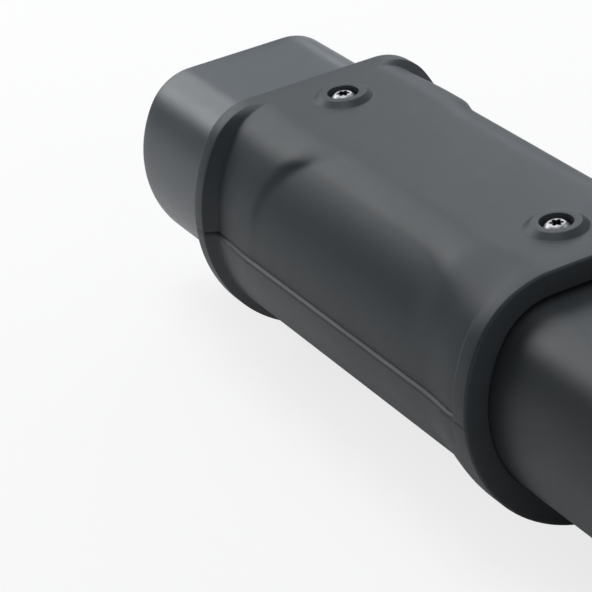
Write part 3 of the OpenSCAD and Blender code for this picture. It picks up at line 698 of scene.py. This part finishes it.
# Screw turned from a profile of [radius, height]. Inside the recess's edge the radius swings with six
# lobes, lobeRadius + lobeDepth * (|cos(3 * angle)|^0.8 - 0.75).
def addScrew(surface, s, centre, seat, reach, sign):
    angle = np.linspace(0, 2 * math.pi, 97)[:-1]
    top = s["headHeight"]
    head = roundedPath([[s["shankRadius"], -reach], [s["shankRadius"], 0], [s["headRadius"], 0],
                        [s["headRadius"], top - s["domeStart"]], [s["domeRadius"], top - s["domeTop"]],
                        [s["crownRadius"], top]], [0.1, 0.15, 0.7, 0.6], 5)
    rings = [np.stack([np.full(angle.shape, r), np.full(angle.shape, z)], -1) for r, z in head]
    lobes = s["lobeRadius"] + s["lobeDepth"] * (np.abs(np.cos(3 * angle)) ** 0.8 - 0.75)
    for share, depth in ((1.04, 0.0), (1.0, 0.06), (0.98, 0.3), (0.96, s["recess"]),
                         (0.5, s["recess"] + 0.15)):
        rings.append(np.stack([lobes * share, np.full(angle.shape, top - depth)], -1))
    rings = np.array(rings)
    x = centre + rings[..., 0] * np.cos(angle)
    y = rings[..., 0] * np.sin(angle)
    z = seat + sign * rings[..., 1]
    ids = surface.grid(np.stack([x, y, z], -1), closedColumns=True)
    surface.disc(ids[0], [centre, 0, seat - sign * (reach + s["point"])])
    surface.disc(ids[-1], [centre, 0, seat + sign * (top - s["recess"] - 0.2)])


# Marks the points of the six-lobe recess that get its painted shade: near a screw's axis and below the top
# of its head
def markShadedRecess(piece, s, headTop, sign):
    mesh = piece.data
    pts = np.empty(len(mesh.vertices) * 3)
    mesh.vertices.foreach_get("co", pts)
    pts = (pts.reshape(-1, 3) - toRow([0, 0, 0])) * 1000
    reach = np.min([np.hypot(pts[:, 0] - centre, pts[:, 1]) for centre in housing["screws"]], axis=0)
    depth = (headTop - pts[:, 2]) * sign
    recessShade = (reach < s["lobeRadius"] + 0.4) & (depth > 0.03) & (depth < s["recess"] + 0.3)
    mesh.attributes.new("recess", "FLOAT", "POINT").data.foreach_set("value", recessShade.astype(np.float32))


for name, node, level, reach, sign in (
        ("top_screw_pair", "top_screws", housing["flat"], screw["reachTop"], 1),
        ("bottom_screw_pair", "bottom_screws", -housing["roundRadius"], screw["reachLow"], -1)):
    headTop = level + sign * (boss["height"] - screw["sink"])
    pair = Surface()
    for centre in housing["screws"]:
        addScrew(pair, screw, centre, headTop - sign * screw["headHeight"], reach, sign)
    # the marked recess points are painted near-black as painted shade
    markShadedRecess(pair.build(name, "screw_steel", screwSteel, [node], sharp=30), screw, headTop, sign)

# Nodes that keep their solids

keptFinishes = {
    "inlet_insert": insertPlastic, "plug_insert": insertPlastic, "touch_tips": tipPlastic,
    "inlet_retainer": retainerPlastic, "plug_retainer": retainerPlastic, "retainer_screws": screwSteel,
    "inlet_gasket": gasketRubber, "plug_gasket": gasketRubber, "joint_sleeves": jointPlastic,
}
for contact, colour in wireColours.items():
    keptFinishes[contact + "_pin"] = contactMetal
    keptFinishes[contact + "_sleeve"] = contactMetal
    keptFinishes[contact + "_wire"] = colour
for name, material in keptFinishes.items():
    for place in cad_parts[name].material_slots:
        place.material = material
print("finishes given to", len(keptFinishes), "nodes")

# Stage

stage = {"floor": 0.86, "glow": 0.8, "glossyGlow": 0.15, "size": 6.0, "fade": (0.35, 1.6)}


def makeFloor(s):
    mesh = bpy.data.meshes.new("floor")
    half = s["size"] / 2
    corners = [(-half, -half, 0), (half, -half, 0), (half, half, 0), (-half, half, 0)]
    mesh.from_pydata(corners, [], [(0, 1, 2, 3)])
    floor = bpy.data.objects.new("floor", mesh)
    bpy.context.scene.collection.objects.link(floor)
    shader = Shader("paleFloor")
    surface = shader.add("ShaderNodeBsdfPrincipled", {}, {"Base Color": grey(s["floor"]), "Roughness": 0.9,
                                                          "Specular IOR Level": 0.1})
    light = shader.add("ShaderNodeEmission", {}, {"Color": white, "Strength": 1.0})
    seen = shader.add("ShaderNodeLightPath", output="Is Camera Ray")
    mirrored = shader.add("ShaderNodeLightPath", output="Is Glossy Ray")
    # away from the object the floor fades into the white room
    reach = shader.add("ShaderNodeVectorMath", {"operation": "LENGTH"},
                       {0: shader.add("ShaderNodeTexCoord", output="Object")}, output="Value")
    glow = shader.add("ShaderNodeMapRange", {"interpolation_type": "SMOOTHSTEP"},
                      {"Value": reach, "From Min": s["fade"][0], "From Max": s["fade"][1],
                       "To Min": s["glow"], "To Max": 1.0})
    both = shader.add("ShaderNodeMixShader", {}, {0: seen * glow + mirrored * s["glossyGlow"],
                                                  1: surface, 2: light})
    shader.addOutput(both)
    mesh.materials.append(shader.material)


def areaLight(name, place, aim, size, power, colour):
    data = bpy.data.lights.new(name, "AREA")
    data.shape = "RECTANGLE"
    data.size, data.size_y = size
    data.energy = power
    data.color = colour
    lamp = bpy.data.objects.new(name, data)
    bpy.context.scene.collection.objects.link(lamp)
    lamp.location = place
    lamp.rotation_euler = (Vector(aim) - Vector(place)).to_track_quat("-Z", "Y").to_euler()
    return lamp


makeFloor(stage)
middle = (0, 0, axisZ)
coolLight = (0.96, 0.98, 1.0)
plainLight = (1, 1, 1)
lamps = {
    "overhead": {"place": (-0.1, 0.0, 1.0), "size": (0.4, 0.4), "power": 2.75, "colour": coolLight},
    "overBack": {"place": (-0.6, 0.1, 0.95), "size": (0.9, 0.9), "power": 2.4, "colour": coolLight},
    "backMiddle": {"place": (-0.9, -0.1, 0.65), "size": (0.9, 0.7), "power": 4.7, "colour": coolLight},
    "backLeft": {"place": (-0.85, -0.4, 0.65), "size": (0.4, 0.4), "power": 2.0, "colour": plainLight},
    "backRight": {"place": (-0.75, 0.7, 0.5), "size": (0.5, 0.5), "power": 2.3, "colour": (0.9, 0.95, 1.0)},
    "endFill": {"place": (1.0, 0.1, 0.5), "size": (0.6, 0.5), "power": 2.0, "colour": plainLight},
    "sideFill": {"place": (0.2, 0.9, 0.6), "size": (0.6, 0.6), "power": 1.8, "colour": plainLight},
}
for name, lamp in lamps.items():
    areaLight(name, lamp["place"], middle, lamp["size"], lamp["power"], lamp["colour"])


# Room: white to the camera, and dim to everything else
def softRoom(seenStrength, litStrength):
    world = bpy.data.worlds.new("softRoom")
    world.use_nodes = True
    nodes = world.node_tree.nodes
    path = nodes.new("ShaderNodeLightPath")
    strength = nodes.new("ShaderNodeMapRange")
    strength.inputs["To Min"].default_value = litStrength
    strength.inputs["To Max"].default_value = seenStrength
    world.node_tree.links.new(path.outputs["Is Camera Ray"], strength.inputs["Value"])
    world.node_tree.links.new(strength.outputs["Result"], nodes["Background"].inputs["Strength"])
    nodes["Background"].inputs["Color"].default_value = white
    bpy.context.scene.world = world


softRoom(1.0, 0.01)

# Camera, at the photograph's own angle and distance, found by fitting the housing's edges

view = {"azimuth": 64.18, "elevation": 27.9, "roll": -7.25, "lens": 161.1, "place": (531.8, -249.5, 264.2)}
azimuth, elevation, roll = (math.radians(view[k]) for k in ("azimuth", "elevation", "roll"))
back = Vector((math.sin(azimuth) * math.cos(elevation), -math.cos(azimuth) * math.cos(elevation),
               math.sin(elevation)))
right = Vector((math.cos(azimuth), math.sin(azimuth), 0))
up = back.cross(right)
rolledRight = right * math.cos(roll) + up * math.sin(roll)
rolledUp = up * math.cos(roll) - right * math.sin(roll)
cameraData = bpy.data.cameras.new("camera")
cameraData.lens = view["lens"]
cameraData.sensor_width = 36
cameraData.sensor_fit = "HORIZONTAL"
cameraData.clip_start = 0.01
camera = bpy.data.objects.new("camera", cameraData)
bpy.context.scene.collection.objects.link(camera)
turn = Matrix((rolledRight, rolledUp, back)).transposed().to_4x4()
camera.matrix_world = Matrix.Translation(Vector(toRow(view["place"]))) @ turn
bpy.context.scene.camera = camera
bpy.context.scene.view_settings.view_transform = "Standard"
print("stage, lights and camera placed")
